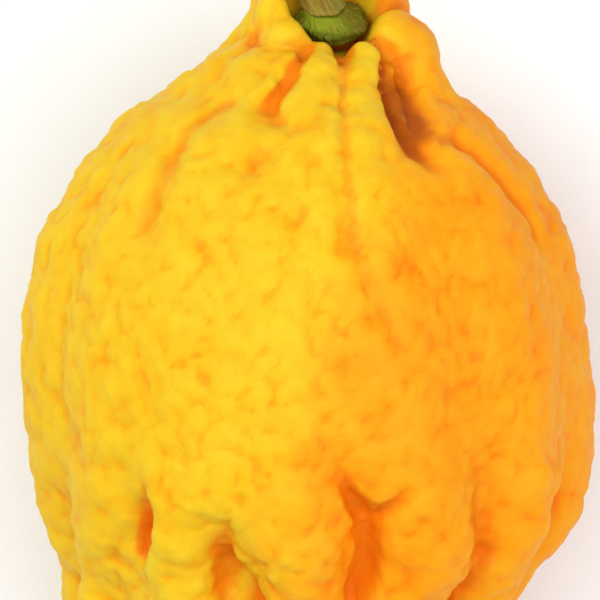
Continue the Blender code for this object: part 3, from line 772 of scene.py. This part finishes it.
def closed_rings(name, grid):
    """A closed mesh from rings of points, with a point in the middle of the first and last."""
    rows, sides = grid.shape[:2]
    points = np.vstack([grid.reshape(-1, 3), grid[0].mean(0), grid[-1].mean(0)])
    i = np.arange(rows - 1)[:, None] * sides
    j = np.arange(sides)[None, :]
    k = (j + 1) % sides
    squares = np.stack([i + j, i + k, i + sides + k, i + sides + j], axis=-1).reshape(-1, 4)
    low, high = rows * sides, rows * sides + 1
    j, k = j.ravel(), k.ravel()
    last = (rows - 1) * sides
    bottom = np.stack([k, j, np.full(sides, low)], axis=1)
    top = np.stack([last + j, last + k, np.full(sides, high)], axis=1)
    mesh = bpy.data.meshes.new(name)
    mesh.from_pydata(points, [], squares.tolist() + bottom.tolist() + top.tolist())
    mesh.shade_smooth()
    return mesh


def neck_rings(height, angle, reach):
    """Points above the neck's foot, leaning to the left as the calyx and stem do."""
    up = np.array([0, math.cos(NECK_LEAN), math.sin(NECK_LEAN)])
    out = np.array([0, -math.sin(NECK_LEAN), math.cos(NECK_LEAN)])
    x = reach * np.cos(angle) + STEM_LEAN * np.maximum(height - LEAN_START, 0)
    return (
        NECK_FOOT
        + height[..., None] * up
        + x[..., None] * np.array([1.0, 0, 0])
        + (reach * np.sin(angle))[..., None] * out
    )


def turned_profile(rings, rows, sides):
    """Heights, angles and reaches on a grid: a smooth line through the rings, carried round."""
    rings = np.array(rings, float)
    way = np.concatenate([[0], np.cumsum(np.linalg.norm(np.diff(rings, axis=0), axis=1))])
    at = np.linspace(0, way[-1], rows)
    height, reach = smooth_curve(way, rings[:, 0])(at), smooth_curve(way, rings[:, 1])(at)
    angle = np.linspace(0, 2 * math.pi, sides, endpoint=False)[None, :]
    return height[:, None] + 0 * angle, angle + 0 * height[:, None], reach[:, None] + 0 * angle


def paint_turned(mesh, ends, **values):
    """Stores values of a turned grid and of the points in the middle of its two ends."""
    for name, grid in values.items():
        paint(mesh, name, np.concatenate([grid.ravel(), ends[name]]))


def make_calyx():
    """The green cup: five lobes cut in by a raised cosine, a crinkled brim, and veins in between.

    The veins and the crinkles are cosines of the angle, which itself sways with the reach, and they
    show only above the brim.
    """
    height, angle, reach = turned_profile(CALYX_RINGS, CALYX_ROWS, CALYX_SIDES)
    brim = smooth_step(*CALYX_BRIM, reach)
    above = smooth_step(*CALYX_UPPER, height)
    lobe = 1 - LOBE_DEPTH * brim * (0.5 + 0.5 * np.cos(CALYX_LOBES * angle + 0.6)) ** 1.5
    bent = angle + 0.12 * np.sin(3 * angle + 1) + 0.03 * np.sin(2.3 * reach)
    veins = 0.06 * np.cos(17 * bent + 1.3) * np.cos(2.5 * reach + 4 * angle)
    veins += 0.04 * np.cos(31 * bent)
    reach = reach * lobe + brim * 0.12 * (np.cos(33 * angle) + np.cos(21 * angle + 2))
    crinkle = above * (veins - 0.1) + 0.16 * above * brim * (np.cos(7 * bent + 0.4) - 0.4)
    grid = neck_rings(height + crinkle, angle, reach - CALYX_INSET)
    mesh = closed_rings("calyx", lay_down(grid))
    ends = {"reach": [reach[0].mean(), reach[-1].mean()], "turn": [0, 0]}
    paint_turned(mesh, ends, reach=reach, turn=angle)
    return placed_in_scene("calyx_button", mesh)


def make_stem():
    """The cut stem: a swollen foot, bark raised in cosines of the angle, and a dished cut face."""
    height, angle, reach = turned_profile(STEM_RINGS, STEM_ROWS, STEM_SIDES)
    ribs = 0.05 * np.cos(6 * angle + 0.4) + 0.012 * np.cos(23 * angle + 0.25 * height)
    ribs += 0.012 * np.cos(37 * angle - 0.4 * height)
    smooth_end = 1 - 0.7 * smooth_step(STEM_END - CUT_EDGE, STEM_END - 0.02, height)
    grid = neck_rings(height, angle, reach * (1 + ribs * smooth_end) - STEM_INSET)
    mesh = closed_rings("stem", lay_down(grid))
    face = (height > STEM_END - 0.3) & (reach < STEM_RADIUS - CUT_EDGE)
    ends = {"rise": [0, STEM_LENGTH], "turn": [0, 0], "reach": [0, 0], "cut": [0, 1]}
    paint_turned(mesh, ends, rise=height - STEM_FOOT, turn=angle, reach=reach, cut=face)
    return placed_in_scene("cut_stem", mesh)


class Finish:
    """A material's nodes, in short words. Sizes are in millimetres."""

    def __init__(self, name):
        self.material = bpy.data.materials.new(name)
        self.material.use_nodes = True
        self.tree = self.material.node_tree
        self.shader = self.tree.nodes["Principled BSDF"]

    def give(self, socket, value):
        if isinstance(value, bpy.types.NodeSocket):
            self.tree.links.new(value, socket)
        else:
            socket.default_value = value

    def add(self, kind, inputs, **settings):
        node = self.tree.nodes.new(kind)
        for key, value in settings.items():
            setattr(node, key, value)
        for key, value in inputs.items():
            self.give(node.inputs[key], value)
        return node

    def place(self, size):
        """Object coordinates, scaled so that a unit is the given size."""
        there = self.add("ShaderNodeTexCoord", {}).outputs["Object"]
        scale = (1 / (size * MM),) * 3
        return self.add("ShaderNodeMapping", {"Vector": there, "Scale": scale}).outputs["Vector"]

    def painted(self, name):
        return self.add("ShaderNodeAttribute", {}, attribute_name=name).outputs["Fac"]

    def noise(self, size, detail=3.0, roughness=0.55):
        inputs = {"Vector": self.place(size), "Scale": 1.0, "Detail": detail,
                  "Roughness": roughness}
        return self.add("ShaderNodeTexNoise", inputs).outputs["Fac"]

    def span(self, value, low, high, to_low=0.0, to_high=1.0):
        """A value from low to high, eased to run from one end of a new range to the other."""
        inputs = {"Value": value, "From Min": low, "From Max": high, "To Min": to_low,
                  "To Max": to_high}
        node = self.add("ShaderNodeMapRange", inputs, interpolation_type="SMOOTHSTEP")
        return node.outputs["Result"]

    def reckon(self, operation, a, b=0.0):
        node = self.add("ShaderNodeMath", {0: a, 1: b}, operation=operation)
        return node.outputs["Value"]

    def scaled(self, value, by):
        return self.reckon("MULTIPLY", value, by)

    def between(self, share, a, b, blend="MIX"):
        """Colour a where the share is 0, going over to b, or to their product, where it is 1."""
        inputs = {"Factor": share, 6: a, 7: b}
        return self.add("ShaderNodeMix", inputs, data_type="RGBA", blend_type=blend).outputs[2]

    def layered(self, colour, layers, blend="MIX"):
        """Colours laid over one another, each by its share times its strength."""
        for share, strength, over in layers:
            colour = self.between(self.scaled(share, strength), colour, over, blend)
        return colour

    def bump(self, height, strength, distance, under=None):
        inputs = {"Height": height, "Strength": strength, "Distance": distance}
        if under is not None:
            inputs["Normal"] = under
        return self.add("ShaderNodeBump", inputs).outputs["Normal"]

    def done(self, **inputs):
        for key, value in inputs.items():
            self.give(self.shader.inputs[key.replace("_", " ")], value)
        return self.material


def rind_finish():
    """Lemon yellow going over to orange, partly riper and partly painted shade on the side away from the
    window light, with painted light on ridges and wart tops, painted shade between the bumps and in the
    clefts, and oil pores.
    """
    n = Finish("rind")
    # Orange to the right: partly riper skin, partly painted shade on the side away from the window light.
    cloud = n.scaled(n.reckon("SUBTRACT", n.noise(20, 2), 0.5), 26.0)
    ripe_and_shade = n.span(n.reckon("ADD", n.painted("ripe_and_shaded_side"), cloud), -9.0, 11.0)
    colour = n.between(ripe_and_shade, LEMON, ORANGE)
    patches = n.scaled(n.span(n.noise(9, 2), 0.42, 0.6), ripe_and_shade)
    # Painted light makes the ridges lighter; the patches are the skin's own tone.
    colour = n.layered(colour, [
        (n.span(n.painted("cleft"), -0.2, -1.6), 0.8, RIDGE_PAINTED_LIGHT),
        (patches, 0.5, PATCH_TINT),
    ], "MULTIPLY")
    # Painted shade: the fold right of the neck turns orange.
    colour = n.layered(colour, [(n.painted("shaded_flank"), 0.6, FLANK_PAINTED_SHADE)])
    # The skin's own mottling, painted highlights on wart tops, and painted shade between the warts and in
    # small dips.
    colour = n.layered(colour, [
        (n.span(n.noise(5, 3), 0.4, 0.66), 0.4, MOTTLE_TINT),
        (n.span(n.painted("wart"), 0.45, 0.8), 0.8, WART_TOP_PAINTED_LIGHT),
        (n.span(n.painted("wart"), 0.5, 0.15), 0.75, WART_GAP_PAINTED_SHADE),
        (n.span(n.painted("dip"), 0.0, 0.2), 0.4, DIP_PAINTED_SHADE),
    ], "MULTIPLY")
    # Painted shade in clefts, enclosed skin and creases, and the darkest painted shadow in the clefts right
    # of the neck; the freckles and the olive near the stem are the skin's own.
    colour = n.layered(colour, [
        (n.span(n.painted("cleft"), 0.3, 2.0), 0.8, CLEFT_PAINTED_SHADE),
        (n.span(n.painted("shut"), 0.08, 0.65), 0.7, SHUT_PAINTED_SHADE),
        (n.span(n.painted("pressed"), 0.6, 2.2), 0.75, CREASE_PAINTED_SHADE),
        (n.span(n.painted("deep"), 1.2, 3.0), 0.9, DEEP_CLEFT_PAINTED_SHADOW),
        (n.span(n.noise(1.6, 2), 0.66, 0.76), 0.15, FRECKLE_BROWN),
        (n.span(n.painted("hollow"), 9.0, 6.5), 0.5, HOLLOW_OLIVE),
    ])
    pores = n.add("ShaderNodeTexVoronoi", {"Vector": n.place(1.25), "Scale": 1.0},
                  feature="F1").outputs["Distance"]
    skin = n.bump(n.span(pores, 0.0, 0.45), 0.35, 0.12 * MM)
    skin = n.bump(n.noise(2.4, 3, 0.6), 0.45, 0.35 * MM, skin)
    return n.done(
        Base_Color=colour, Roughness=n.span(n.noise(3.1, 1), 0.3, 0.7, 0.45, 0.6), Normal=skin,
        Subsurface_Weight=0.1, Subsurface_Radius=(1.0, 0.4, 0.08), Subsurface_Scale=2 * MM,
        Specular_IOR_Level=0.09,
    )


def calyx_finish():
    """Fresh green dome with lighter veins, darker green at the brim, painted shade on its right side, and
    brown in patches.
    """
    n = Finish("calyx")
    colour = n.between(n.span(n.painted("reach"), 4.4, 6.1), DOME_GREEN, BRIM_GREEN)
    # Painted shade: darker olive on the calyx's right side.
    shaded_right = n.span(n.reckon("COSINE", n.painted("turn")), 0.1, 0.9)
    lines = n.reckon("ADD", n.scaled(n.painted("turn"), 20.0), n.scaled(n.noise(2.5, 2), 9.0))
    veins = n.span(n.reckon("COSINE", lines), 0.2, 1.0)
    colour = n.layered(colour, [
        (shaded_right, 0.75, CALYX_RIGHT_PAINTED_SHADE),
        (n.scaled(veins, n.span(n.noise(2.2, 2), 0.35, 0.65)), 0.35, VEIN_GREEN),
        (n.span(n.noise(2.6, 4), 0.5, 0.68), 0.6, WORN_BROWN),
    ])
    return n.done(
        Base_Color=colour, Roughness=n.span(n.noise(1.5), 0.3, 0.7, 0.5, 0.75),
        Normal=n.bump(n.noise(0.7, 4), 0.5, 0.25 * MM), Specular_IOR_Level=0.14,
    )


def stem_finish():
    """Olive-brown bark streaked along its length with pale dots, and a pale ringed cut face."""
    n = Finish("stem")
    turn, rise = n.painted("turn"), n.painted("rise")
    streaks = n.add("ShaderNodeCombineXYZ", {
        "X": n.scaled(n.reckon("COSINE", turn), 6.0),
        "Y": n.scaled(n.reckon("SINE", turn), 6.0),
        "Z": n.scaled(rise, 0.35),
    }).outputs["Vector"]
    bark = n.add("ShaderNodeTexNoise", {"Vector": streaks, "Scale": 1.0, "Detail": 5.0})
    bark = bark.outputs["Fac"]
    colour = n.layered(n.between(n.span(bark, 0.3, 0.7), BARK_BROWN, BARK_OLIVE), [
        (n.span(n.noise(4, 2), 0.4, 0.65), 0.45, BARK_GREEN),
        (n.span(n.noise(0.9, 1), 0.68, 0.75), 0.6, BARK_DOT),
    ])
    rings = n.reckon("SINE", n.scaled(n.painted("reach"), 9.0))
    wood = n.between(n.span(rings, -1.0, 1.0), WOOD_DARK, WOOD_PALE)
    wood = n.between(n.span(n.painted("reach"), 2.3, 2.9), wood, CUT_RIM)
    return n.done(
        Base_Color=n.between(n.painted("cut"), colour, wood), Roughness=0.72,
        Normal=n.bump(bark, 0.7, 0.3 * MM), Specular_IOR_Level=0.12,
    )


def table_finish():
    """A plain pale surface with a trace of mottling."""
    n = Finish("table")
    colour = n.between(n.span(n.noise(40, 2), 0.3, 0.7), *TABLE_SHADES)
    return n.done(Base_Color=colour, Roughness=0.9, Specular_IOR_Level=0.1)


def finish_with(piece, material, node):
    piece.data.materials.clear()
    piece.data.materials.append(material)
    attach(piece, "root")
    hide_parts(node)


def make_table():
    mesh = bpy.data.meshes.new("table")
    corners = [(x * TABLE_HALF, y * TABLE_HALF, 0) for x, y in ((-1, -1), (1, -1), (1, 1), (-1, 1))]
    mesh.from_pydata(corners, [], [(0, 1, 2, 3)])
    mesh.materials.append(table_finish())
    placed_in_scene("table", mesh)


def soft_light(name, place, side, power):
    """A square light that faces the fruit and isn't seen itself."""
    lamp = bpy.data.lights.new(name, "AREA")
    lamp.size = side
    lamp.energy = power
    made = placed_in_scene(name, lamp)
    made.location = place
    away = Vector(place) - Vector(LIT_POINT)
    made.rotation_euler = away.to_track_quat("Z", "Y").to_euler()
    made.visible_camera = False


def light_and_camera():
    """Soft light from above and both sides, and a long lens looking straight down."""
    for row in SOFT_LIGHTS:
        soft_light(*row)
    world = bpy.data.worlds.new("studio")
    world.use_nodes = True
    sky = world.node_tree.nodes["Background"].inputs
    sky["Color"].default_value = (1, 1, 1, 1)
    sky["Strength"].default_value = SKY_STRENGTH
    bpy.context.scene.world = world
    lens = bpy.data.cameras.new("camera")
    lens.lens = LENS
    lens.sensor_width = SENSOR
    lens.clip_start = 0.01
    camera = placed_in_scene("camera", lens)
    camera.location = CAMERA_PLACE
    bpy.context.scene.camera = camera
    bpy.context.scene.view_settings.view_transform = "Standard"
    bpy.context.scene.view_settings.look = "None"


finish_with(make_rind(), rind_finish(), "fruit")
finish_with(make_calyx(), calyx_finish(), "calyx")
finish_with(make_stem(), stem_finish(), "stem")
make_table()
light_and_camera()
